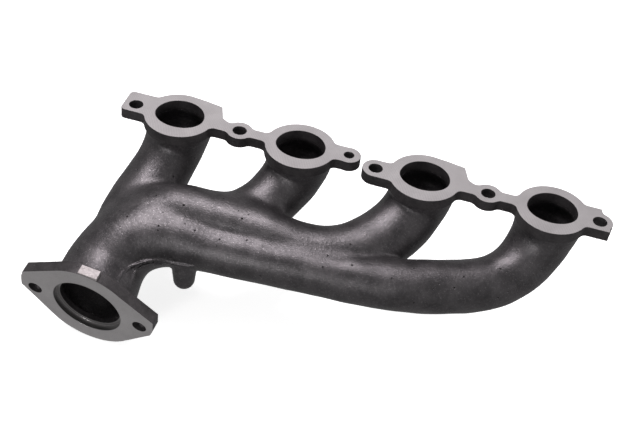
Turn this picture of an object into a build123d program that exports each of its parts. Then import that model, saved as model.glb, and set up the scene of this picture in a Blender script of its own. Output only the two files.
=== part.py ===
from build123d import *
import math
import os

os.makedirs("parts", exist_ok=True)

# ---------------------------------------------------------------------------
# Driving dimensions in millimetres.
# Frame: origin on the machined port face, midway between the two middle bolt
# holes.  +X runs along the ports away from the outlet, +Y is the engine's up
# side, +Z points out of the port face towards the cylinder head.
# ---------------------------------------------------------------------------
PORT_PITCH = 111.76            # centre to centre of neighbouring ports
PORT_R = 21.8                  # port opening, half its width and its round upper side
PORT_LOW = 17.3                # reach of the port's flatter lower side
LOBE_R = 31.3                  # round land about each port
PLATE_T = 10.0                 # port flange thickness
MID_BOLT_OFF = 55.88           # middle bolt hole past the port beside it
OUT_BOLT_OFF = 40.81           # outermost bolt hole past the port beside it
IN_BOLT_X = 13.0               # inner bolt hole from the origin
IN_BOLT_Y = 4.34               # inner bolt holes sit off the line by this
BOLT_R = 6.1                   # bolt holes
SMALL_BOLT_R = 4.5             # the one small hole, beside port 2
MID_BOSS_R = 12.0              # land about a middle bolt hole
WEB_HALF = 6.1                 # half height of the webs between lands
CORNER_R = 6.0                 # rounding of the inside corners of a plate
PLATE_GAP = 3.6                # gap between the two flange plates
EAR_OUT = 11.2                 # plate reach past an outermost bolt hole

NECK_R = 29.4                  # outside radius of a neck under the plate
NECK_LEN = 10.0                # straight neck below the plate
NECK_RISE = 1.5                # neck centre above the bolt line
WALL = 5.0                     # cast wall
RUNNER_R = 25.4                # outside radius of runners 1 to 3 in the bend
RUNNER4_R = 23.4               # outside radius of the long runner 4
TRUNK_LOW_R = 29.5             # lower bulge of the log at its big end
TRUNK_UP_R = 29.0              # upper bulge of the log at its big end
OUTLET_R = 36.5                # outside radius behind the outlet flange

OUT_DX = -20.86                # outlet face centre from port 1, along X
OUT_Y = -160.2                 # outlet face centre
OUT_Z = -96.7
OUT_YAW = 4.6                  # outlet face turned towards -X, degrees
OUT_PITCH = 10.9               # outlet face turned towards -Z, degrees
OUT_ROLL = 1.9                 # bolt line of the outlet turned in its face
OUT_T = 10.5                   # outlet flange thickness
OUT_BORE_R = 31.0              # gasket counterbore
OUT_BORE_D = 5.4               # depth of the counterbore
OUT_SEAT_R = 28.0              # bore below the counterbore
OUT_BELLY_R = 46.5             # round belly of the outlet flange
OUT_BOLT_PCD = 96.6            # the two outlet bolt holes, centre to centre
OUT_BOLT_R = 6.2
OUT_HALF = 61.0                # half width of the outlet flange over the ears
OUT_NECK_LEN = 16.0            # neck behind the outlet flange

LUG_DX = 44.64                 # cast lug under the log, from port 1
LUG_Y = -100.0                 # lug centre
LUG_R = 9.6                    # lug radius at its root
LUG_TIP_R = 8.6                # lug radius and round at its tip
LUG_TIP_Z = -104.5
LUG_ROOT_Z = -70.0             # the lug starts inside the log wall
PAD_W = 17.0                   # ground gate pad on the outlet flange rim
PAD_OFF = 3.4
PAD_RISE = 1.8
PAD_T = 8.8

BEND_Y = -36.0                 # plane where runners 1 to 3 meet the log
BEND_DX = 32.12                # the cells of runners 1 to 3 end this far past port 3
ELBOW_Y = -130.0               # the elbow's own side, where it swells past the log
LOG_DX = (-59.64, -35.88, -14.12, 17.64)   # planes along the log, from ports 4, 3, 2, 1
EAR_CUT = 30.36                # end ears start this far past a port
BRIDGE_CUT = 32.25             # bridges start this far from a port
INNER_CUT = 31.88              # inner ears start this far from a port

STATION = 17.0                 # spacing of the sections along a tube
P1 = -1.5 * PORT_PITCH
P2 = -0.5 * PORT_PITCH
P3 = 0.5 * PORT_PITCH
P4 = 1.5 * PORT_PITCH
MID_BOLT_X = P3 + MID_BOLT_OFF
OUT_BOLT_X = P4 + OUT_BOLT_OFF
OUT_X = P1 + OUT_DX
LUG_X = P1 + LUG_DX
BEND_X = P3 + BEND_DX
LOG_X = [port + dx for port, dx in zip((P4, P3, P2, P1), LOG_DX)]
Z_NECK = -PLATE_T - NECK_LEN


def disc(plane, radius):
    """Round face made of four equal arcs, so that lofts don't twist."""
    arcs = [plane * CenterArc((0, 0), radius, 90 * k, 90) for k in range(4)]
    return make_face(arcs)


def tube(points, grow=0.0):
    """Smooth tube through (x, y, z, radius) points, radius offset by grow."""
    knots = [Vector(p[0], p[1], p[2]) for p in points]
    path = Spline(*knots)
    params = [path.param_at_point(k) for k in knots]
    count = round(path.length / STATION)
    side = Vector(1, 0, 0)
    faces = []
    for k in range(count + 1):
        t = k / count
        i = max(j for j in range(len(points) - 1) if params[j] <= t + 1e-9)
        mix = (t - params[i]) / (params[i + 1] - params[i])
        radius = points[i][3] * (1 - mix) + points[i + 1][3] * mix
        tangent = path.tangent_at(t)
        side = (side - tangent * side.dot(tangent)).normalized()
        plane = Plane(origin=path.position_at(t), x_dir=side, z_dir=tangent)
        faces.append(disc(plane, radius + grow))
    return loft(faces)


def slab(x0, x1, y0, y1, z0, z1):
    """Axis aligned block."""
    size = (x1 - x0, y1 - y0, z1 - z0)
    return Pos((x0 + x1) / 2, (y0 + y1) / 2, (z0 + z1) / 2) * Box(*size)


def below(plane, size=900.0):
    """Block filling the side of a plane that its normal points away from."""
    return plane * Pos(0, 0, -size / 2) * Box(size, size, size)


# --- port flange plates ----------------------------------------------------
def rect2(x0, x1, y0, y1):
    """Flat rectangle by its limits."""
    return Pos((x0 + x1) / 2, (y0 + y1) / 2) * Rectangle(x1 - x0, y1 - y0)


def gusset(px):
    """Flat topped gusset from a port land down to the web beside it."""
    pts = [
        (px + 3.0, 31.0),
        (px + 14.0, 29.9),
        (px + 31.0, 26.8),
        (px + 36.6, 11.6),
        (px + 42.0, WEB_HALF + 1.8),
        (px + 50.0, WEB_HALF),
        (px + 50.0, 0.0),
        (px, 0.0),
    ]
    return make_face(Polyline(*pts, close=True))


def port_shape(px):
    """Port opening: a half circle above, and a flatter half ellipse below."""
    upper = Circle(PORT_R) & rect2(-PORT_R, PORT_R, 0, PORT_R)
    lower = Ellipse(PORT_R, PORT_LOW) & rect2(-PORT_R, PORT_R, -PORT_LOW, 0)
    return Pos(px, 0) * (upper + lower)


land1 = Pos(P1, 0) * Circle(LOBE_R)
land2 = Pos(P2, 0) * Circle(LOBE_R)
land3 = Pos(P3, 0) * Circle(LOBE_R)
land4 = Pos(P4, 0) * Circle(LOBE_R)

x_left = -OUT_BOLT_X - EAR_OUT
ear1 = fillet(rect2(x_left, P1, -10.8, 17.6).vertices().sort_by(Axis.X)[:2], 4.5)
ear2 = Pos(-IN_BOLT_X, IN_BOLT_Y) * Circle(IN_BOLT_X - PLATE_GAP / 2 - 0.6)
web2 = rect2(P2, -IN_BOLT_X, IN_BOLT_Y - 10.3, IN_BOLT_Y + 10.3)
plate_a = land1 + land2 + ear1 + gusset(P1)
plate_a += rect2(P1, P2, -WEB_HALF, WEB_HALF)
plate_a += Pos(-MID_BOLT_X, 0) * Circle(MID_BOSS_R)
plate_a += ear2 + web2

ear3 = Pos(IN_BOLT_X, -IN_BOLT_Y) * Circle(IN_BOLT_X - PLATE_GAP / 2 + 0.4)
web3 = rect2(IN_BOLT_X, P3, -IN_BOLT_Y - 11.6, -IN_BOLT_Y + 11.6)
ear4 = Pos(OUT_BOLT_X, 0) * Circle(EAR_OUT)
ear4 += rect2(P4, OUT_BOLT_X + 0.6, -11.0, 17.2)
ear4 += rect2(P4, OUT_BOLT_X + 9.6, -11.0, 0.0)
plate_b = land3 + land4 + gusset(P3) + ear3 + web3 + ear4
plate_b += rect2(P3, P4, -WEB_HALF, WEB_HALF)
plate_b += Pos(MID_BOLT_X, 0) * Circle(MID_BOSS_R)


def rounded(sketch):
    """Round the inside corners of an outline."""
    return offset(offset(sketch, CORNER_R, kind=Kind.ARC), -CORNER_R, kind=Kind.ARC)


holes = []
for hx, hy, hr in (
    (-OUT_BOLT_X, 0.0, BOLT_R),
    (-MID_BOLT_X, 0.0, BOLT_R),
    (-IN_BOLT_X, IN_BOLT_Y, SMALL_BOLT_R),
    (IN_BOLT_X, -IN_BOLT_Y, BOLT_R),
    (MID_BOLT_X, 0.0, BOLT_R),
    (OUT_BOLT_X, 0.0, BOLT_R),
):
    holes.append(Pos(hx, hy, -PLATE_T / 2) * Cylinder(hr, PLATE_T + 2))

ports = []
for px in (P1, P2, P3, P4):
    ports.append(Pos(0, 0, -PLATE_T - 1) * extrude(port_shape(px), PLATE_T + 2))

plates = Pos(0, 0, -PLATE_T) * extrude(rounded(plate_a), PLATE_T)
plates_b = Pos(0, 0, -PLATE_T) * extrude(rounded(plate_b), PLATE_T)
for tool in holes + ports:
    plates = plates - tool
    plates_b = plates_b - tool

# --- runners, log and outlet neck -------------------------------------------
yaw = math.radians(OUT_YAW)
pitch = math.radians(OUT_PITCH)
out_n = Vector(
    -math.sin(yaw) * math.cos(pitch),
    -math.cos(yaw) * math.cos(pitch),
    -math.sin(pitch),
)
out_c = Vector(OUT_X, OUT_Y, OUT_Z)
flat_x = (Vector(1, 0, 0) - out_n * out_n.X).normalized()
flat_y = out_n.cross(flat_x)
roll = math.radians(OUT_ROLL)
bolt_x = flat_x * math.cos(roll) - flat_y * math.sin(roll)
out_plane = Plane(origin=out_c, x_dir=bolt_x, z_dir=out_n)


def behind(dist):
    """Point on the outlet axis behind the outlet face."""
    return out_c - out_n * dist


def neck(px):
    """First points of a tube, straight down from inside the plate."""
    return [
        (px, NECK_RISE, -PLATE_T * 0.4, NECK_R + 0.4),
        (px - 0.2, NECK_RISE - 0.4, -PLATE_T * 1.5, NECK_R - 0.5),
        (px - 1.2, NECK_RISE - 2.2, Z_NECK - 3.0, NECK_R - 1.6),
    ]


b0 = behind(OUT_T)
b1 = behind(OUT_T + OUT_NECK_LEN)
b2 = behind(OUT_T + OUT_NECK_LEN + 14.0)
path1 = neck(P1) + [
    (P1 - 4.86, -12.0, -40.5, RUNNER_R + 1.2),
    (P1 - 11.36, -34.0, -56.5, RUNNER_R + 1.8),
    (P1 - 16.36, -62.0, -68.5, RUNNER_R + 3.6),
    (P1 - 17.86, -88.0, -77.5, RUNNER_R + 3.8),
    (P1 - 19.36, -112.0, -83.5, RUNNER_R + 1.6),
]
path2 = neck(P2) + [
    (P2 - 10.62, -16.0, -42.0, RUNNER_R),
    (P2 - 26.62, -39.0, -52.4, RUNNER_R - 1.2),
    (P2 - 50.12, -58.5, -56.0, RUNNER_R - 2.0),
    (P1 + 37.64, -70.0, -57.5, RUNNER_R - 4.5),
]
path3 = neck(P3) + [
    (P3 - 10.28, -15.5, -42.5, RUNNER_R + 1.8),
    (P3 - 27.88, -37.2, -54.0, RUNNER_R + 1.6),
    (P3 - 54.88, -59.0, -59.2, RUNNER_R + 0.9),
    (P2 + 27.88, -69.0, -57.8, RUNNER_R + 0.6),
    (P2 - 12.12, -70.0, -52.8, TRUNK_UP_R - 1.8),
    (P2 - 55.12, -69.8, -52.0, TRUNK_UP_R - 0.6),
    (P1 + 24.14, -70.5, -53.4, TRUNK_UP_R),
    (P1 - 1.36, -83.0, -62.3, TRUNK_UP_R),
    (P1 - 15.36, -106.0, -74.0, TRUNK_UP_R - 0.6),
]
path4 = neck(P4) + [
    (P4 - 8.04, -12.4, -44.0, RUNNER4_R + 2.0),
    (P4 - 28.84, -35.6, -60.3, RUNNER4_R),
    (P4 - 65.14, -55.8, -64.1, RUNNER4_R),
    (P3 + 4.42, -69.9, -61.8, RUNNER4_R + 1.3),
    (P3 - 57.58, -78.2, -58.6, TRUNK_LOW_R - 3.4),
    (P2 - 8.12, -82.8, -55.8, TRUNK_LOW_R - 1.5),
    (P1 + 51.64, -84.2, -56.4, TRUNK_LOW_R + 0.2),
    (P1 + 16.14, -87.0, -60.4, TRUNK_LOW_R + 2.0),
    (P1 - 8.86, -104.0, -71.0, TRUNK_LOW_R + 3.8),
    (b2.X, b2.Y, b2.Z, OUTLET_R - 1.6),
    (b1.X, b1.Y, b1.Z, OUTLET_R - 0.4),
    (b0.X, b0.Y, b0.Z, OUTLET_R),
]

outer = [tube(p) for p in (path4, path3, path2, path1)]
inner = [tube(p, -WALL) for p in (path4, path3, path2, path1)]

# --- outlet flange ------------------------------------------------------------
half = OUT_HALF
belly = OUT_BELLY_R
up = math.radians(120.0)
dn = math.radians(46.0)
flange_pts = [
    (-half - 0.4, -1.0),
    (-half + 0.3, 10.0),
    (-half + 2.6, 18.3),
    (belly * math.cos(up), belly * math.sin(up)),
    (-belly * math.cos(up), belly * math.sin(up)),
    (half + 0.2, 12.5),
    (half - 0.2, 1.0),
    (half - 2.8, -7.6),
    (belly * math.cos(dn), -belly * math.sin(dn)),
    (-belly * math.cos(dn), -belly * math.sin(dn)),
]
flange_2d = make_face(Polyline(*flange_pts, close=True)) + Circle(belly)
outlet = out_plane * (Pos(0, 0, -OUT_T) * extrude(flange_2d, OUT_T))
pad_y0 = belly - 3.0
pad = Pos(PAD_OFF, (pad_y0 + belly + PAD_RISE) / 2, -PAD_T / 2)
pad = pad * Box(PAD_W, belly + PAD_RISE - pad_y0, PAD_T)
pad = (out_plane * pad) - outlet
for sx in (-1, 1):
    tool = Pos(sx * OUT_BOLT_PCD / 2, 0, -OUT_T / 2) * Cylinder(OUT_BOLT_R, OUT_T + 2)
    outlet = outlet - out_plane * tool
counterbore = Pos(0, 0, -OUT_BORE_D / 2 + 0.5) * Cylinder(OUT_BORE_R, OUT_BORE_D + 1)
seat_bore = Pos(0, 0, -OUT_T / 2) * Cylinder(OUT_SEAT_R, OUT_T + 2)
outlet = outlet - out_plane * counterbore - out_plane * seat_bore

# --- lug --------------------------------------------------------------------
lug_len = LUG_ROOT_Z - LUG_TIP_Z
lug = Cone(LUG_TIP_R, LUG_R, lug_len)
lug = fillet(lug.edges().sort_by(Axis.Z)[0], LUG_TIP_R * 0.72)
lug = Pos(LUG_X, LUG_Y, (LUG_ROOT_Z + LUG_TIP_Z) / 2) * lug

# --- the casting in named regions, face to face ------------------------------
BIG = 600.0
nodes = {}


def region(cell, which):
    """Hollow part of the casting inside a cell, from the tubes that reach it."""
    solid = None
    for k in which:
        part = outer[k] & cell
        solid = part if solid is None else solid + part
    for k in which:
        solid = solid - inner[k]
    return solid


lug = lug - outer[0]
for i, k in enumerate((3, 2, 1, 0)):
    px = (P1, P2, P3, P4)[i]
    cell = slab(px - 50, px + 50, -50, 50, Z_NECK, -PLATE_T)
    nodes["port_neck_%d" % (i + 1)] = region(cell, [k])
bend_cell = slab(-BIG, BEND_X, BEND_Y, BIG, -BIG, Z_NECK)
for i, k in enumerate((3, 2, 1)):
    nodes["runner_%d" % (i + 1)] = region(bend_cell, [k])


def log_cell(x0, x1):
    """Slice of the space in front of the three short runners."""
    return slab(x0, x1, -BIG, BIG, -BIG, Z_NECK) - bend_cell


nodes["runner_4"] = region(log_cell(LOG_X[0], BIG), [0])
nodes["log_rear"] = region(log_cell(LOG_X[1], LOG_X[0]), [0, 1])
nodes["log_middle"] = region(log_cell(LOG_X[2], LOG_X[1]), [0, 1, 2])
front_cell = log_cell(LOG_X[3], LOG_X[2])
elbow_side = slab(LOG_X[3], LOG_X[3] + 30.0, -BIG, ELBOW_Y, -BIG, Z_NECK)
nodes["log_front"] = region(front_cell - elbow_side, [0, 1, 2])
cut = Plane(origin=b1, z_dir=out_n)
end_cell = (log_cell(-BIG, LOG_X[3]) + elbow_side) & below(cut)
nodes["collector_elbow"] = region(end_cell, [0, 1, 3])
neck_tube = Pos(0, 0, -OUT_T - OUT_NECK_LEN / 2)
neck_tube = neck_tube * (
    Cylinder(OUTLET_R, OUT_NECK_LEN) - Cylinder(OUTLET_R - WALL, OUT_NECK_LEN)
)
nodes["outlet_neck"] = out_plane * neck_tube
nodes["outlet_flange"] = outlet
nodes["outlet_gate_pad"] = pad
nodes["log_lug"] = lug

a_cuts = (-BIG, P1 - EAR_CUT, P1 + BRIDGE_CUT, P2 - BRIDGE_CUT, P2 + INNER_CUT, BIG)
a_names = ("bolt_ear_1", "port_flange_1", "bolt_bridge_12", "port_flange_2", "bolt_ear_2")
b_cuts = (-BIG, P3 - INNER_CUT, P3 + BRIDGE_CUT, P4 - BRIDGE_CUT, P4 + EAR_CUT, BIG)
b_names = ("bolt_ear_3", "port_flange_3", "bolt_bridge_34", "port_flange_4", "bolt_ear_4")
for i in range(5):
    cell = slab(a_cuts[i], a_cuts[i + 1], -BIG, BIG, -BIG, BIG)
    nodes[a_names[i]] = plates & cell
    cell = slab(b_cuts[i], b_cuts[i + 1], -BIG, BIG, -BIG, BIG)
    nodes[b_names[i]] = plates_b & cell

for name, shape in nodes.items():
    export_step(shape, "parts/%s.step" % name)
    print(name, len(shape.solids()), shape.is_valid, round(shape.volume))
print("ok")
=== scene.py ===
import math
import bmesh
import bpy
import numpy as np
from mathutils import Matrix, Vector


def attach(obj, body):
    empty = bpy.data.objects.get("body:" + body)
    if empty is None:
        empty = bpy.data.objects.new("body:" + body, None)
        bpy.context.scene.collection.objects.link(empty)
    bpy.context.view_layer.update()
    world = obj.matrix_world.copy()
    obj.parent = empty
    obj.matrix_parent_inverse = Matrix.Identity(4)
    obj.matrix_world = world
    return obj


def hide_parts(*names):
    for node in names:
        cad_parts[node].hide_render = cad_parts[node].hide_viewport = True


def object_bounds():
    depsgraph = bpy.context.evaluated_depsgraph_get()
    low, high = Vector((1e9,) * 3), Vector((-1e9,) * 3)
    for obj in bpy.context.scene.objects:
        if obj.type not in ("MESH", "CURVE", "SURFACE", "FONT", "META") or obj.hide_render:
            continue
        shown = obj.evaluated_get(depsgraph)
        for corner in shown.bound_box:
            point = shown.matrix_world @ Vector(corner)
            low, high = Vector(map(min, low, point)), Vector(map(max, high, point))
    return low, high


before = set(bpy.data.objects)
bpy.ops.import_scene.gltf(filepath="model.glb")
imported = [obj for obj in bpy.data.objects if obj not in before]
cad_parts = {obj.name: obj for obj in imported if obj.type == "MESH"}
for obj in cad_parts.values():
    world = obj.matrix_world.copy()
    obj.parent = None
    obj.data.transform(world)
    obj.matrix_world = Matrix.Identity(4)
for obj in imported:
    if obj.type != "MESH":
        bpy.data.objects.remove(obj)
cad_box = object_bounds()

# ---------------------------------------------------------------------------
# Cast body. Grey iron poured in sand round a sand core: four runners, the log
# they sweep into, the elbow, the outlet neck and a small lug, in one skin with
# soft blends where they meet. All lengths in this section are millimetres.
# ---------------------------------------------------------------------------
PITCH = 111.76
PORTS = np.array([-1.5, -0.5, 0.5, 1.5]) * PITCH
WALL = 5.0  # of the casting
GRID = 1.7  # cell of the grid that the skin is sampled on
PLATE_BACK = -9.6  # the cast skin runs up to here, inside the port flange plates
OUTLET_BACK = 10.1  # and to this far behind the outlet face, inside the outlet flange
OUTLET_NECK = 26.5  # the neck ends this far behind the outlet face
MOUTH_R = 21.6  # port opening: half its width, and its round upper side
MOUTH_LOW = 21.8 / 17.3  # its lower side is flatter by this
LUG_X = -124.0
LUG_Y = -100.0

out_centre = np.array([-188.5, -160.2, -96.7])
yaw, pitch, roll = np.radians([4.6, 10.9, 1.9])
out_axis = -np.array(
    [np.sin(yaw) * np.cos(pitch), np.cos(yaw) * np.cos(pitch), np.sin(pitch)]
)
level = np.array([1.0, 0.0, 0.0]) - out_axis * out_axis[0]
level /= np.linalg.norm(level)
out_u = level * np.cos(roll) - np.cross(out_axis, level) * np.sin(roll)
out_v = np.cross(out_axis, out_u)


def behind(depth, radius, aside):
    """Centre line row at a depth behind the outlet face, moved aside along its bolt line."""
    return [*(out_centre - out_axis * depth + out_u * aside), radius]


def neck(x):
    """First rows of a runner, straight down from inside its flange."""
    return [[x, 1.5, -4, 29.8], [x - 0.2, 1.1, -15, 28.9], [x - 1.2, -0.7, -23, 27.8]]


# Rows of x, y, z and radius down each runner's centre line. Runner 3 goes on
# as the upper side of the log, and runner 4 as its lower side, the elbow and
# the outlet neck. Runners 1 and 2 end inside them.
runner_1 = neck(PORTS[0]) + [
    [-172.5, -12.0, -40.5, 26.6],
    [-179.0, -34.0, -56.5, 27.2],
    [-184.0, -62.0, -68.5, 28.6],
    [-185.5, -88.0, -77.5, 28.4],
    [-187.0, -112.0, -83.5, 26.6],
]
runner_2 = neck(PORTS[1]) + [
    [-66.5, -16.0, -42.0, 25.4],
    [-82.5, -39.0, -52.4, 24.2],
    [-106.0, -58.5, -56.0, 22.9],
    [-130.0, -70.0, -57.5, 20.4],
]
runner_3 = neck(PORTS[2]) + [
    [45.6, -15.5, -42.5, 27.2],
    [28.0, -37.2, -54.0, 27.0],
    [1.2, -58.4, -58.4, 25.2],
    [-28.8, -67.1, -55.6, 22.8],
    [-69.0, -67.3, -49.6, 22.4],
    [-112.0, -67.1, -48.8, 23.6],
    [-144.1, -69.0, -51.6, 25.8],
    [-169.0, -83.0, -62.3, 27.8],
    [-183.0, -106.0, -74.0, 26.8],
]
runner_4 = neck(PORTS[3]) + [
    [159.6, -12.4, -44.0, 25.4],
    [138.8, -35.6, -60.3, 23.4],
    [102.5, -55.8, -64.1, 23.4],
    [60.8, -71.1, -63.3, 22.8],
    [-0.4, -81.3, -62.3, 21.2],
    [-62.4, -86.8, -60.7, 21.4],
    [-114.4, -88.2, -61.3, 23.0],
    [-150.8, -88.8, -62.6, 28.0],
    [-179.0, -103.5, -72.6, 31.6],
    [-187.9, -119.8, -84.6, 33.6],
    [-188.9, -134.3, -90.6, 35.4],
    behind(10.5, 36.8, -1.2),
]


def centre_line(rows, step=4.0):
    """Natural cubic spline through rows of x, y, z, radius.

    The second derivatives m solve the usual tridiagonal system, and each
    stretch is the cubic with the end values and end second derivatives.
    """
    rows = np.array(rows, float)
    t = np.r_[0, np.cumsum(np.linalg.norm(np.diff(rows[:, :3], axis=0), axis=1))]
    h = np.diff(t)[:, None]
    n = len(t)
    a = np.eye(n)
    i = np.arange(1, n - 1)
    a[i, i - 1], a[i, i], a[i, i + 1] = h[:-1, 0], 2 * (h[:-1, 0] + h[1:, 0]), h[1:, 0]
    rise = np.diff(rows, axis=0) / h
    b = np.zeros_like(rows)
    b[1:-1] = 6 * (rise[1:] - rise[:-1])
    m = np.linalg.solve(a, b)
    s = np.linspace(0, t[-1], int(t[-1] / step) + 1)
    k = np.clip(np.searchsorted(t, s, "right") - 1, 0, n - 2)
    h, u = h[k], (s - t[k])[:, None]
    w = h - u
    return (
        (m[k] * w**3 + m[k + 1] * u**3) / (6 * h)
        + (rows[k] / h - m[k] * h / 6) * w
        + (rows[k + 1] / h - m[k + 1] * h / 6) * u
    )


lines = [centre_line(r) for r in (runner_4, runner_3, runner_2, runner_1)]


def core_line(line):
    """The sand core's centre line: a wall less in radius, and 3.3 less still at the outlet."""
    core = line.copy()
    core[:, 3] -= WALL
    depth = (out_centre - core[:, :3]) @ out_axis
    core[:, 3] -= 3.3 * np.clip((24 - depth) / 12, 0, 1)
    return core


cores = [core_line(s) for s in lines]


def cone_distance(p, a, b):
    """Distance from points p to the tapered link from row a to row b.

    The point is dropped on the link, t is its share of the way, and the
    link's radius there is taken off its distance.
    """
    ab = b[:3] - a[:3]
    t = np.clip((p - a[:3]) @ ab / (ab @ ab), 0, 1)
    off = p - a[:3] - t[..., None] * ab
    return np.sqrt((off * off).sum(-1)) - a[3] - t * (b[3] - a[3])


def tube_distance(p, line):
    """Distance from points p to a tube, from the eight links about the nearest row."""
    rough = np.linalg.norm(p[:, None] - line[None, ::3, :3], axis=2) - line[None, ::3, 3]
    near = rough.argmin(1) * 3
    best = np.full(len(p), 1e9)
    for k in range(-4, 4):
        i = np.clip(near + k, 0, len(line) - 2)
        a, b = line[i], line[i + 1]
        ab = b[:, :3] - a[:, :3]
        t = np.clip(((p - a[:, :3]) * ab).sum(1) / (ab * ab).sum(1), 0, 1)
        off = p - a[:, :3] - t[:, None] * ab
        d = np.linalg.norm(off, axis=1) - a[:, 3] - t * (b[:, 3] - a[:, 3])
        best = np.minimum(best, d)
    return best


def blend(a, b, k):
    """Smooth minimum: the smaller of a and b, less k/4 times the squared overlap."""
    h = np.maximum(k - np.abs(a - b), 0) / k
    return np.minimum(a, b) - h * h * k / 4


def box_2d(x, y, x0, x1, y0, y1, r=0.0):
    """Distance to the rectangle x0 to x1 by y0 to y1, with corners of radius r."""
    dx = np.abs(x - (x0 + x1) / 2) - (x1 - x0) / 2 + r
    dy = np.abs(y - (y0 + y1) / 2) - (y1 - y0) / 2 + r
    return np.hypot(np.maximum(dx, 0), np.maximum(dy, 0)) + np.minimum(np.maximum(dx, dy), 0) - r


def port_flanges(p):
    """Distance to the two port flange plates: lands, bosses, ears and webs, from their back up."""
    x, y, z = p[..., 0], p[..., 1], p[..., 2]
    d = np.full(x.shape, 1e9)
    for port in PORTS:
        d = np.minimum(d, np.hypot(x - port, y) - 30.9)
    for mid in (-PITCH, PITCH):
        d = blend(d, np.hypot(x - mid, y) - 11.6, 6)
        d = blend(d, box_2d(x, y, mid - 40, mid + 40, -5.7, 5.7), 6)
    d = blend(d, box_2d(x, y, -219.2, -180, -10.4, 17.2, 4), 6)
    d = blend(d, box_2d(x, y, 180, 218, -10.6, 10.6, 4), 6)
    return np.maximum(d, PLATE_BACK - z)


def outlet_flange(p):
    """Distance to the round belly of the outlet flange, from its back face forward."""
    q = p - out_centre
    u, v, w = q @ out_u, q @ out_v, q @ out_axis
    return np.maximum(np.hypot(u, v) - 45.8, -OUTLET_BACK - w)


def lug(p):
    """Distance to the lug: a stout post with a rounded end, pointing down."""
    root = np.array([LUG_X, LUG_Y, -72.0, 11.8])
    tip = np.array([LUG_X, LUG_Y, -94.9, 9.5])
    return cone_distance(p, root, tip)


# The mould halves met along the inside of the elbow's arch and left two low
# ridges there, which run from the outlet flange to the top of the lug.
upper_ridge = centre_line(
    [
        [-165.5, -149.0, -67.0, 1.1],
        [-164.6, -141.4, -66.1, 1.1],
        [-162.3, -131.8, -66.6, 1.2],
        [-156.8, -126.5, -65.2, 1.2],
        [-150.4, -121.2, -64.6, 1.2],
        [-143.7, -116.6, -65.2, 1.3],
        [-138.0, -113.6, -66.6, 1.7],
        [-131.5, -111.8, -67.9, 2.1],
        [-121.0, -111.2, -67.6, 2.1],
        [-111.6, -110.6, -66.4, 1.0],
    ]
)
lower_ridge = centre_line(
    [
        [-158.0, -143.5, -77.2, 0.7],
        [-158.2, -133.1, -74.0, 1.2],
        [-157.5, -128.9, -71.6, 1.2],
        [-151.0, -122.0, -68.6, 1.1],
        [-146.3, -117.7, -69.3, 0.8],
        [-140.0, -114.0, -71.5, 0.5],
    ]
)


def waviness(p):
    """Uneven sand: three crossed low waves of a tenth of a millimetre or two."""
    x, y, z = p[..., 0], p[..., 1], p[..., 2]
    return (
        0.16 * np.sin(x / 7.3 + np.sin(y / 11.0)) * np.sin(z / 8.1 + y / 9.7)
        + 0.12 * np.sin(x / 15.1 - z / 12.3) * np.sin(y / 10.9 + 1.0)
        + 0.10 * np.sin(x / 4.1 + z / 5.3) * np.sin(y / 4.7 - z / 6.1)
    )


def calm(p):
    """1 on the open casting, falling to 0 over the last 3 mm before a flange."""
    depth = (out_centre - p) @ out_axis
    return np.clip((-10.5 - p[..., 2]) / 3, 0, 1) * np.clip((depth - 11) / 3, 0, 1)


def ridges(p, d):
    """Lay the two ridges on surface d, measured only near it in front of the elbow."""
    near = (np.abs(d) < 6) & (p[..., 0] > -172) & (p[..., 0] < -106)
    near &= (p[..., 1] < -102) & (p[..., 1] > -156) & (p[..., 2] > -84) & (p[..., 2] < -56)
    spots = p[near]
    if len(spots):
        for line in (upper_ridge, lower_ridge):
            d[near] = blend(d[near], tube_distance(spots, line), 1.6)
    return d


def skin(p, tubes):
    """The outside: runners blended in turn into the log, then lug, ridges and flanges."""
    d = blend(tubes[0], tubes[1], 5.0)
    d = blend(d, tubes[2], 10.0)
    d = blend(d, tubes[3], 9.0)
    d = blend(d, lug(p), 2.5)
    d = blend(d, port_flanges(p), 3.0)
    d = ridges(p, d)
    d = blend(d, outlet_flange(p), 4.0)
    return d + waviness(p) * calm(p)


def hollow(p, tubes):
    """The inside: the core's runners blended in turn, opening to the port mouths.

    A mouth is a half circle over a flatter half ellipse. Between 10 and 24 mm
    down it gives way to the round core by a smooth step.
    """
    d = blend(tubes[0], tubes[1], 8.0)
    d = blend(d, tubes[2], 13.0)
    d = blend(d, tubes[3], 12.0)
    x, y, z = p[..., 0], p[..., 1], p[..., 2]
    mouth = np.full(x.shape, 1e9)
    for port in PORTS:
        low = np.where(y < 0, MOUTH_LOW, 1.0)
        mouth = np.minimum(mouth, np.hypot(x - port, y * low) - MOUTH_R)
    mix = np.clip((-10 - z) / 14, 0, 1)
    mix = mix * mix * (3 - 2 * mix)
    d = np.where(z > -24, mouth * (1 - mix) + d * mix, d)
    return d + 1.6 * waviness(p * 1.3) * np.clip((-10 - z) / 6, 0, 1)


def sample_grid(low, high):
    """Coordinates along each side of a box, GRID apart, and all the grid points in it."""
    axes = [np.arange(low[i], high[i] + GRID, GRID) for i in range(3)]
    p = np.stack(np.meshgrid(*axes, indexing="ij"), -1)
    return axes, p


def fill_tubes(axes, p, tube_lines):
    """Distance to each tube on the grid, link by link; 14 mm off it, it is left large."""
    out = []
    for line in tube_lines:
        d = np.full(p.shape[:3], 40.0)
        for a, b in zip(line[:-1], line[1:]):
            reach = max(a[3], b[3]) + 14
            cut = []
            for i in range(3):
                lo, hi = min(a[i], b[i]) - reach, max(a[i], b[i]) + reach
                cut.append(slice(*np.searchsorted(axes[i], (lo, hi))))
            cut = tuple(cut)
            block = p[cut]
            if block.size:
                d[cut] = np.minimum(d[cut], cone_distance(block, a, b))
        out.append(d)
    return out


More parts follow.
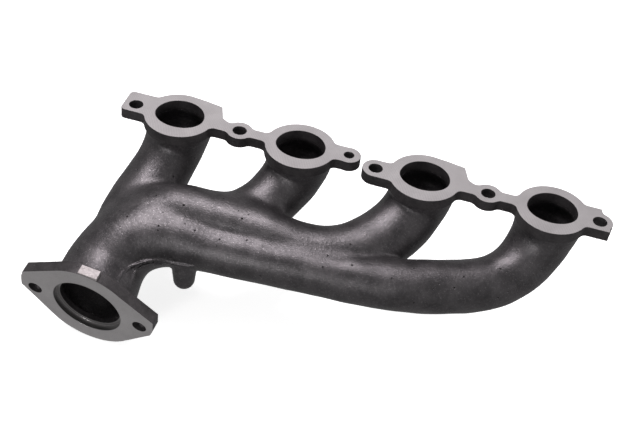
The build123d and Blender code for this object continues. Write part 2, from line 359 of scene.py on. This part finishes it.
def surface_net(axes, value):
    """Dual surface of value = 0: one vertex per crossed cell, one quad per crossed edge.

    A cell's vertex is the mean of the crossings on its twelve edges. An edge
    whose ends differ in sign joins the four cells round it, wound outwards.
    """
    inside = value < 0
    corners = [(i, j, k) for i in (0, 1) for j in (0, 1) for k in (0, 1)]
    n = np.array(value.shape) - 1

    def at(arr, c):
        return arr[c[0] : n[0] + c[0], c[1] : n[1] + c[1], c[2] : n[2] + c[2]]

    count = sum(at(inside, c).astype(np.int8) for c in corners)
    cells = np.argwhere((count > 0) & (count < 8))
    number = np.full(n, -1)
    number[tuple(cells.T)] = np.arange(len(cells))
    total = np.zeros((len(cells), 3))
    hits = np.zeros(len(cells))
    for c in corners:
        for axis in range(3):
            if c[axis]:
                continue
            e = list(c)
            e[axis] = 1
            va = value[tuple((cells + c).T)]
            vb = value[tuple((cells + e).T)]
            cross = (va < 0) != (vb < 0)
            t = np.where(cross, va / np.where(cross, va - vb, 1), 0)
            spot = np.array(c, float)[None].repeat(len(cells), 0)
            spot[:, axis] += t
            total += spot * cross[:, None]
            hits += cross
    verts = (cells + total / hits[:, None]) * GRID + [a[0] for a in axes]
    quads = []
    for axis in range(3):
        u, v = [(1, 2), (2, 0), (0, 1)][axis]
        lo = [slice(1, -1)] * 3
        hi = [slice(1, -1)] * 3
        lo[axis], hi[axis] = slice(0, -1), slice(1, None)
        a, b = inside[tuple(lo)], inside[tuple(hi)]
        edges = np.argwhere(a != b)
        start = edges + 1
        start[:, axis] -= 1
        rising = a[tuple(edges.T)]
        ring = []
        for du, dv in ((-1, -1), (0, -1), (0, 0), (-1, 0)):
            cell = start.copy()
            cell[:, u] += du
            cell[:, v] += dv
            ring.append(number[tuple(cell.T)])
        ring = np.stack(ring, 1)
        ring[~rising] = ring[~rising][:, ::-1]
        quads.append(ring)
    quads = np.concatenate(quads)
    return verts, quads[(quads >= 0).all(1)]


def slope(field, p, tube_lines):
    """Value and gradient of a field at points p, by steps of 0.3 mm each way."""
    def f(q):
        return field(q, [tube_distance(q, s) for s in tube_lines])

    value = f(p)
    grad = np.empty_like(p)
    for i in range(3):
        step = np.zeros(3)
        step[i] = 0.3
        grad[:, i] = (f(p + step) - f(p - step)) / 0.6
    return value, grad


def settle(field, p, tube_lines, rounds=2):
    """Newton steps onto the surface: p moves back by value over slope, along the slope."""
    for _ in range(rounds):
        value, grad = slope(field, p, tube_lines)
        size = (grad * grad).sum(1)
        p = p - grad * (np.clip(value, -2, 2) / np.maximum(size, 0.05))[:, None]
    _, grad = slope(field, p, tube_lines)
    return p, grad / np.linalg.norm(grad, axis=1)[:, None]


REGIONS = (
    "port_neck_1 port_neck_2 port_neck_3 port_neck_4 runner_1 runner_2 runner_3 runner_4 "
    "log_rear log_middle log_front collector_elbow outlet_neck log_lug"
).split()


def region_of(p):
    """Number of the casting's region at each point, by the planes between them."""
    x, y, z = p.T
    depth = (out_centre - p) @ out_axis
    port = np.abs(x[:, None] - PORTS).argmin(1)
    r = np.full(len(p), 11)
    r[depth < OUTLET_NECK] = 12
    r[(x > -150) & ((y > -130) | (x > -120))] = 10
    r[x > -70] = 9
    r[x > 20] = 8
    r[x > 108] = 7
    short = (y > -36) & (x < 88)
    r[short] = 4 + np.searchsorted([-123, -14], x[short])
    r[z > -20] = port[z > -20]
    return r


grid_axes, grid_points = sample_grid((-232, -160, -138), (200, 38, -7.5))
outer_value = skin(grid_points, fill_tubes(grid_axes, grid_points, lines))
outer_verts, outer_quads = surface_net(grid_axes, outer_value)
outer_verts, outer_normals = settle(skin, outer_verts, lines)
inner_value = hollow(grid_points, fill_tubes(grid_axes, grid_points, cores))
inner_verts, inner_quads = surface_net(grid_axes, inner_value)
inner_verts, inner_normals = settle(hollow, inner_verts, cores)
del grid_points, outer_value, inner_value


class Wire:
    """One shader socket. Arithmetic on it adds Math nodes; node() adds any other kind."""

    def __init__(self, tree, socket=None):
        self.tree, self.socket = tree, socket

    def node(self, kind, settings=None, inputs=None, out=0):
        """Add a node: its settings first, then its sockets, each a value or a wire."""
        made = self.tree.nodes.new(kind)
        for key, value in (settings or {}).items():
            setattr(made, key, value)
        for key, value in (inputs or {}).items():
            if isinstance(value, Wire):
                self.tree.links.new(value.socket, made.inputs[key])
            else:
                made.inputs[key].default_value = value
        return Wire(self.tree, made.outputs[out]) if len(made.outputs) else made

    def maths(self, operation, *values):
        return self.node(
            "ShaderNodeMath", {"operation": operation}, dict(enumerate((self,) + values))
        )

    def __add__(self, other):
        return self.maths("ADD", other)

    def __radd__(self, other):
        return self.maths("ADD", other)

    def __mul__(self, other):
        return self.maths("MULTIPLY", other)

    def __rmul__(self, other):
        return self.maths("MULTIPLY", other)

    def __sub__(self, other):
        return self.maths("SUBTRACT", other)

    def __rsub__(self, other):
        return self.node("ShaderNodeMath", {"operation": "SUBTRACT"}, {0: other, 1: self})

    def ramp(self, low, high):
        """0 below low, 1 above high, and an even slope between."""
        return self.node(
            "ShaderNodeMapRange", {}, {"Value": self, "From Min": low, "From Max": high}
        )

    def tint(self, dark, light):
        """A colour from dark at 0 to light at 1; each is a tuple or a wire."""
        return self.node(
            "ShaderNodeMix",
            {"data_type": "RGBA"},
            {
                0: self,
                6: (*dark, 1.0) if isinstance(dark, tuple) else dark,
                7: (*light, 1.0) if isinstance(light, tuple) else light,
            },
            out=2,
        )

    def grain(self, size, detail=2.0, rough=0.5):
        """Noise with lumps about size millimetres across, at a place wire."""
        return self.node(
            "ShaderNodeTexNoise",
            {},
            {"Vector": self, "Scale": 1000 / size, "Detail": detail, "Roughness": rough},
        )

    def dot(self, direction):
        """How far this vector wire points along a direction."""
        return self.node(
            "ShaderNodeVectorMath",
            {"operation": "DOT_PRODUCT"},
            {0: self, 1: tuple(float(c) for c in direction)},
            out=1,
        )

    def along(self, direction, centre=(0.0, 0.0, 0.0)):
        """Millimetres from centre along a direction, for a place wire."""
        off = self.node(
            "ShaderNodeVectorMath",
            {"operation": "SUBTRACT"},
            {0: self, 1: tuple(float(c) / 1000 for c in centre)},
        )
        return off.dot(direction) * 1000.0


def new_material(name):
    """An empty material, a wire on its tree, and a wire for the place on the object."""
    material = bpy.data.materials.new(name)
    material.use_nodes = True
    material.node_tree.nodes.clear()
    wire = Wire(material.node_tree)
    place = wire.node("ShaderNodeTexCoord", out=3)
    return material, wire, place


def finish_material(wire, colour, metallic, roughness, height, depth, **fixed):
    """Principled shader with a bump: height is a wire, in units of depth millimetres."""
    bump = wire.node(
        "ShaderNodeBump", {}, {"Strength": 1.0, "Distance": depth / 1000, "Height": height}
    )
    inputs = {"Base Color": colour, "Metallic": metallic, "Roughness": roughness}
    inputs["Normal"] = bump
    inputs.update({k.replace("_", " "): v for k, v in fixed.items()})
    surface = wire.node("ShaderNodeBsdfPrincipled", {}, inputs)
    wire.node("ShaderNodeOutputMaterial", {}, {"Surface": surface})


def sand_cast(wire, place):
    """Skin left by the sand: its grains and lumps, pits, mottling, and height in millimetres."""
    fine = place.grain(0.9, 2.0, 0.6)
    coarse = place.grain(2.3, 3.0, 0.6)
    low = place.grain(17.0, 2.0, 0.5)
    cells = wire.node(
        "ShaderNodeTexVoronoi", {"feature": "F1"}, {"Vector": place, "Scale": 150.0}
    )
    seldom = place.grain(7.0, 0.0).ramp(0.56, 0.60)
    pit_and_shade = (1.0 - cells.ramp(0.07, 0.16)) * seldom
    height = fine * 0.24 + coarse * 0.16 + low * 0.30 - pit_and_shade * 0.60
    mottle = low.ramp(0.36, 0.62) * 0.55 + coarse.ramp(0.35, 0.65) * 0.3 + fine.ramp(0.3, 0.7) * 0.15
    return fine, coarse, low, pit_and_shade, mottle, height


cast_skin, wire, place = new_material("sand_cast_iron")
fine, coarse, low, pit_and_shade, mottle, height = sand_cast(wire, place)
colour = mottle.tint((0.060, 0.056, 0.059), (0.130, 0.121, 0.126))
spark = fine.ramp(0.60, 0.70) * coarse.ramp(0.48, 0.60)
colour = spark.tint(colour, (0.27, 0.255, 0.26))
# The pits are painted near black: painted shade inside them, which the bump does not cast.
colour = pit_and_shade.tint(colour, (0.015, 0.013, 0.014))
roughness = 0.40 - spark * 0.15 + (low - 0.5) * 0.10
finish_material(wire, colour, 0.8, roughness, height, 1.0, Specular_IOR_Level=0.5)


REACH = 0.015  # metres between the middles of the two rims of one cut


def open_rims(shape, outer_count):
    """Loops of open edges: for each its edges, its middle, and whether the core has it."""
    open_edges = {e for e in shape.edges if e.is_boundary}
    rims = []
    while open_edges:
        rim, front = set(), [next(iter(open_edges))]
        while front:
            edge = front.pop()
            if edge in open_edges:
                open_edges.discard(edge)
                rim.add(edge)
                front += [e for v in edge.verts for e in v.link_edges if e in open_edges]
        spots = np.array([v.co for e in rim for v in e.verts])
        inner = min(v.index for e in rim for v in e.verts) >= outer_count
        rims.append((sorted(rim, key=lambda e: e.index), spots.mean(0), inner))
    return rims


def close_walls(shape, outer_count):
    """Join the outer and inner rims at each cut with a strip across the wall.

    An outer rim takes the inner rim whose middle is nearest, within REACH.
    The lug is solid, so its rim has no inner one and is filled flat.
    """
    rims = open_rims(shape, outer_count)
    for rim, middle, inner in rims:
        if inner:
            continue
        gaps = [(np.linalg.norm(r[1] - middle), n) for n, r in enumerate(rims) if r[2]]
        gap, mate = min(gaps, default=(np.inf, 0))
        if gap < REACH:
            bmesh.ops.bridge_loops(shape, edges=rim + rims[mate][0])
        elif np.hypot(middle[0] - LUG_X / 1000, middle[1] - LUG_Y / 1000) < REACH:
            bmesh.ops.holes_fill(shape, edges=rim, sides=0)


def cast_piece(name, verts, faces, normals, outer_count, node):
    """One closed stretch of the casting, smooth by its own gradient normals."""
    mesh = bpy.data.meshes.new(name)
    mesh.from_pydata(verts / 1000, [], faces)
    shape = bmesh.new()
    shape.from_mesh(mesh)
    shape.verts.index_update()
    close_walls(shape, outer_count)
    shape.to_mesh(mesh)
    shape.free()
    mesh.polygons.foreach_set("use_smooth", np.ones(len(mesh.polygons), bool))
    mesh.normals_split_custom_set_from_vertices(normals)
    mesh.materials.append(cast_skin)
    piece = bpy.data.objects.new(name, mesh)
    bpy.context.scene.collection.objects.link(piece)
    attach(piece, "root")
    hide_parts(node)


def kept(verts, quads, clear):
    """Quads below the plates and more than clear behind the outlet face, with their middles."""
    middle = verts[quads].mean(1)
    depth = (out_centre - middle) @ out_axis
    use = (middle[:, 2] < PLATE_BACK - 0.1) & (depth > clear)
    return quads[use], middle[use]


outer_quads, outer_middle = kept(outer_verts, outer_quads, OUTLET_BACK + 0.1)
inner_quads, inner_middle = kept(inner_verts, inner_quads, OUTLET_BACK + 0.3)
outer_region = region_of(outer_middle)
beside = np.hypot(outer_middle[:, 0] - LUG_X, outer_middle[:, 1] - LUG_Y)
outer_region[(beside < 14.0) & (outer_middle[:, 2] < -83.0)] = REGIONS.index("log_lug")
inner_region = region_of(inner_middle)

# Each region is one piece: its share of the outside, and of the core turned round.
for number, region in enumerate(REGIONS):
    out = outer_quads[outer_region == number]
    core = inner_quads[inner_region == number][:, ::-1]
    used, faces = np.unique(np.concatenate([out, core + len(outer_verts)]), return_inverse=True)
    verts = np.concatenate([outer_verts, inner_verts])[used]
    normals = np.concatenate([outer_normals, -inner_normals])[used]
    outer_count = int((used < len(outer_verts)).sum())
    cast_piece("cast_" + region, verts, faces.reshape(-1, 4), normals, outer_count, region)


# ---------------------------------------------------------------------------
# Port flange plates. Two plates cast with the runners and then milled flat in
# one pass across the ports. Their edges stay as the sand left them, and the
# bolt holes are drilled.
# ---------------------------------------------------------------------------
machined, wire, place = new_material("milled_iron_faces")
_, coarse, _, _, mottle, height = sand_cast(wire, place)
facing = wire.node("ShaderNodeNewGeometry", out=1)
up = place.along((0, 0, 1))
port_face = facing.dot((0, 0, 1)).ramp(0.80, 0.95) * up.ramp(-0.45, -0.2)
ahead = place.along(out_axis, out_centre)
end_face = facing.dot(out_axis).ramp(0.80, 0.95) * ahead.ramp(-0.45, -0.2)
hub_u = place.along(out_u, out_centre)
hub_v = place.along(out_v, out_centre)
hub_r = (hub_u * hub_u + hub_v * hub_v).maths("SQRT")
step_ring = (1.0 - hub_r.ramp(31.3, 31.5)) * ahead.ramp(-5.7, -5.5) * hub_r.ramp(27.6, 27.8)
turned = hub_r + coarse * 0.5
lathe = (turned * 5.2).maths("SINE") * end_face
cutter_x = place.along((1, 0, 0))
cutter_y = place.along((0, 1, 0), (0, -60, 0))
sweep = (cutter_x + (cutter_y * cutter_y) * 0.0065 + coarse * 0.4) * 2.6
mill = sweep.maths("SINE") * port_face
cut = (port_face + end_face + step_ring).maths("MINIMUM", 1.0)
patch = place.grain(22.0, 3.0, 0.6)
marks = place.grain(1.2, 3.0, 0.7)
painted_pore_shade = marks.ramp(0.66, 0.72) * patch.ramp(0.45, 0.6)
bright = (patch.ramp(0.3, 0.7) * 0.35 + marks.ramp(0.3, 0.7) * 0.4 + mill * 0.10 + 0.15).tint(
    (0.30, 0.285, 0.288), (0.50, 0.48, 0.484)
)
# Pores on the milled faces are painted darker: painted shade inside the small holes.
bright = painted_pore_shade.tint(bright, (0.20, 0.19, 0.19))
dark = mottle.tint((0.030, 0.027, 0.029), (0.080, 0.073, 0.076))
colour = step_ring.tint(cut.tint(dark, bright), (0.36, 0.35, 0.35))
metallic = 0.55 - cut * 0.35 + step_ring * 0.7
roughness = 0.52 - cut * 0.06 - step_ring * 0.16 + (marks - 0.5) * 0.12
tooled = mill * 0.006 + lathe * 0.010 + marks * (0.03 - step_ring * 0.02)
rough_height = height * (1.0 - cut) + cut * tooled
finish_material(wire, colour, metallic, roughness, rough_height, 1.0, Specular_IOR_Level=0.5)


def machined_copy(name, nodes, cuts, edge, material):
    """CAD stretches of one plate joined to one solid, with broken edges.

    Faces on the planes x = cuts are dropped, the rest is merged and its flat
    stretches dissolved, and every sharp edge gets a bevel edge millimetres wide.
    """
    shape = bmesh.new()
    for node in nodes:
        shape.from_mesh(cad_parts[node].data)
    bmesh.ops.remove_doubles(shape, verts=shape.verts, dist=2e-5)
    walls = [
        f
        for f in shape.faces
        if any(all(abs(v.co.x - c / 1000) < 2e-5 for v in f.verts) for c in cuts)
    ]
    bmesh.ops.delete(shape, geom=walls, context="FACES")
    bmesh.ops.remove_doubles(shape, verts=shape.verts, dist=3e-5)
    bmesh.ops.dissolve_limit(
        shape, angle_limit=math.radians(0.4), verts=shape.verts, edges=shape.edges
    )
    mesh = bpy.data.meshes.new(name)
    shape.to_mesh(mesh)
    shape.free()
    mesh.polygons.foreach_set("use_smooth", np.ones(len(mesh.polygons), bool))
    mesh.set_sharp_from_angle(angle=math.radians(35))
    mesh.materials.clear()
    mesh.materials.append(material)
    piece = bpy.data.objects.new(name, mesh)
    bpy.context.scene.collection.objects.link(piece)
    bevel = piece.modifiers.new("broken_edge", "BEVEL")
    bevel.width = edge / 1000
    bevel.segments = 2
    bevel.limit_method = "ANGLE"
    bevel.angle_limit = math.radians(35)
    bevel.harden_normals = True
    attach(piece, "root")
    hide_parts(*nodes)


machined_copy(
    "flange_plate_ports_1_2",
    ["bolt_ear_1", "port_flange_1", "bolt_bridge_12", "port_flange_2", "bolt_ear_2"],
    (PORTS[0] - 30.36, PORTS[0] + 32.25, PORTS[1] - 32.25, PORTS[1] + 31.88),
    0.45,
    machined,
)
machined_copy(
    "flange_plate_ports_3_4",
    ["bolt_ear_3", "port_flange_3", "bolt_bridge_34", "port_flange_4", "bolt_ear_4"],
    (PORTS[2] - 31.88, PORTS[2] + 32.25, PORTS[3] - 32.25, PORTS[3] + 30.36),
    0.45,
    machined,
)

# ---------------------------------------------------------------------------
# Outlet flange. The two-bolt plate at the end of the elbow, cast in one with
# it, then faced and counterbored on a lathe for the pipe's gasket.
# ---------------------------------------------------------------------------
machined_copy("two_bolt_outlet_flange", ["outlet_flange"], (), 0.6, machined)

# ---------------------------------------------------------------------------
# Gate pad. The stub where the iron was poured in, on the rim of the outlet
# flange, broken off and ground nearly flat, so it is pale and rough.
# ---------------------------------------------------------------------------
ground, wire, place = new_material("ground_iron")
scratch = place.grain(1.6, 4.0, 0.7)
blot = place.grain(6.0, 3.0, 0.6)
shade = scratch.ramp(0.3, 0.7) * 0.6 + blot.ramp(0.3, 0.7) * 0.4
colour = shade.tint((0.25, 0.225, 0.225), (0.56, 0.52, 0.52))
roughness = 0.62 - scratch * 0.15
finish_material(wire, colour, 0.45, roughness, scratch * 0.3 + blot * 0.3, 1.0)
machined_copy("ground_gate_pad", ["outlet_gate_pad"], (), 0.5, ground)

# ---------------------------------------------------------------------------
# Studio. A pale floor just under the lowest point, a soft light from above, one
# low from the front left and one from the right, and the camera above the
# outlet's side, looking back along the log.
# ---------------------------------------------------------------------------
floor_z = cad_box[0][2] - 0.0005
bpy.ops.mesh.primitive_plane_add(size=12.0, location=(0, 0, floor_z))
floor = bpy.context.object
floor.name = "studio_floor"
pale, wire, place = new_material("pale_floor")
sheet = place.grain(400.0, 2.0)
colour = sheet.tint((0.93, 0.93, 0.93), (0.95, 0.95, 0.95))
finish_material(
    wire, colour, 0.0, 0.9, sheet, 0.01,
    Specular_IOR_Level=0.1, Emission_Color=(1.0, 1.0, 1.0, 1.0), Emission_Strength=0.75,
)
floor.data.materials.append(pale)
floor.visible_diffuse = False
floor.visible_glossy = False


def soft_light(name, place, target, size, power, tint=(1, 1, 1)):
    """A square area light at place, facing target."""
    data = bpy.data.lights.new(name, "AREA")
    data.size = size
    data.energy = power
    data.color = tint
    light = bpy.data.objects.new(name, data)
    bpy.context.scene.collection.objects.link(light)
    back = np.array(place, float) - target
    back /= np.linalg.norm(back)
    side = np.cross((0, 0, 1), back)
    side /= np.linalg.norm(side)
    up = np.cross(back, side)
    light.matrix_world = Matrix(
        [[side[i], up[i], back[i], place[i]] for i in range(3)] + [[0, 0, 0, 1]]
    )
    return light


soft_light("over", (-0.35, 0.08, 1.3), (0, -0.05, -0.05), 0.55, 16, (1.0, 0.96, 0.985))
soft_light("front_left", (-0.28, -1.4, 0.36), (-0.08, -0.05, -0.05), 0.2, 4.4)
soft_light("right_rim", (1.3, 0.15, 0.2), (0, -0.05, -0.05), 0.5, 3.5)

world = bpy.data.worlds.new("studio")
world.use_nodes = True
world.node_tree.nodes["Background"].inputs[0].default_value = (1, 1, 1, 1)
world.node_tree.nodes["Background"].inputs[1].default_value = 0.30
bpy.context.scene.world = world
bpy.context.scene.view_settings.view_transform = "Standard"

camera_data = bpy.data.cameras.new("camera")
camera_data.lens = 67.5
camera_data.sensor_width = 36.0
camera_data.clip_start = 0.01
camera = bpy.data.objects.new("camera", camera_data)
right = (0.9601, 0.2579, 0.1083)
up = (-0.2496, 0.6154, 0.7476)
back = (0.1261, -0.7448, 0.6552)
eye = (0.1073, -0.8124, 0.6442)
camera.matrix_world = Matrix(
    [[right[i], up[i], back[i], eye[i]] for i in range(3)] + [[0, 0, 0, 1]]
)
bpy.context.scene.collection.objects.link(camera)
bpy.context.scene.camera = camera
